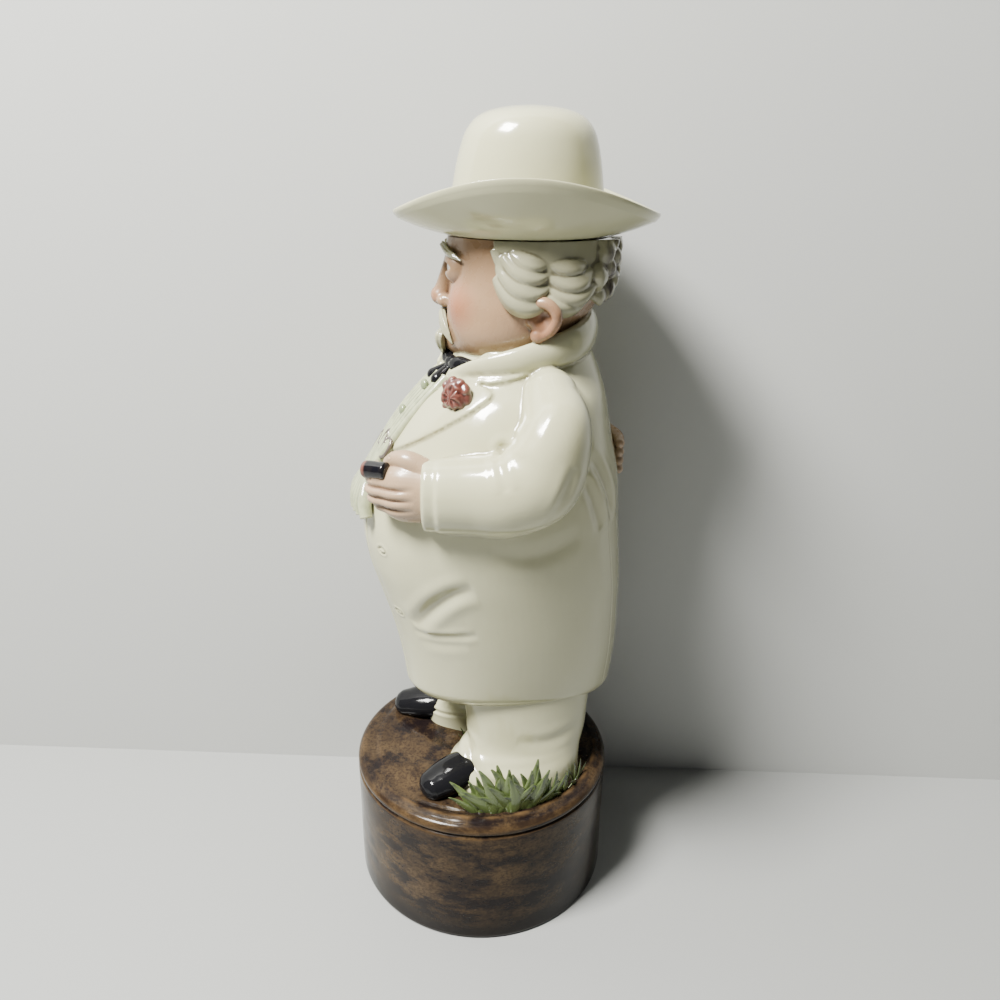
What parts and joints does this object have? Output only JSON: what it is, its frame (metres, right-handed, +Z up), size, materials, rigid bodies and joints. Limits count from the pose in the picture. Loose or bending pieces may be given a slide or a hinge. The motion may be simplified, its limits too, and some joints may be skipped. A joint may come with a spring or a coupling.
{
  "type": "figural ceramic decanter",
  "caption": "Hollow glazed ceramic decanter shaped as a portly gentleman in a long pale coat on a round brown base; the wide-brimmed hat lifts off as the stopper.",
  "frame": {"origin": "centre of the round base's flat underside", "axes": "+Z up through the figure, -Y to the figure's front, +X to the figure's left"},
  "size_m": [0.1059, 0.1064, 0.289],
  "materials": {
    "cream_glaze": "glossy cream-white glaze over cast ceramic, with painted flesh, dark and green details and a mottled brown base",
    "brown_glaze": "glossy mottled brown glaze, amber where it thins on the base's edges",
    "flesh_glaze": "satin pinkish flesh paint under glaze, on face and hands",
    "black_glaze": "glossy black glaze, on shoes, tie and cigar",
    "painted_details": "painted details under glaze: grass, flower, waistcoat lines and watch chain",
    "hat_glaze": "glossy cream-white glaze"
  },
  "bodies": {
    "root": {"decanter": "cream_glaze", "hat_stopper": "hat_glaze"}
  },
  "joints": []
}
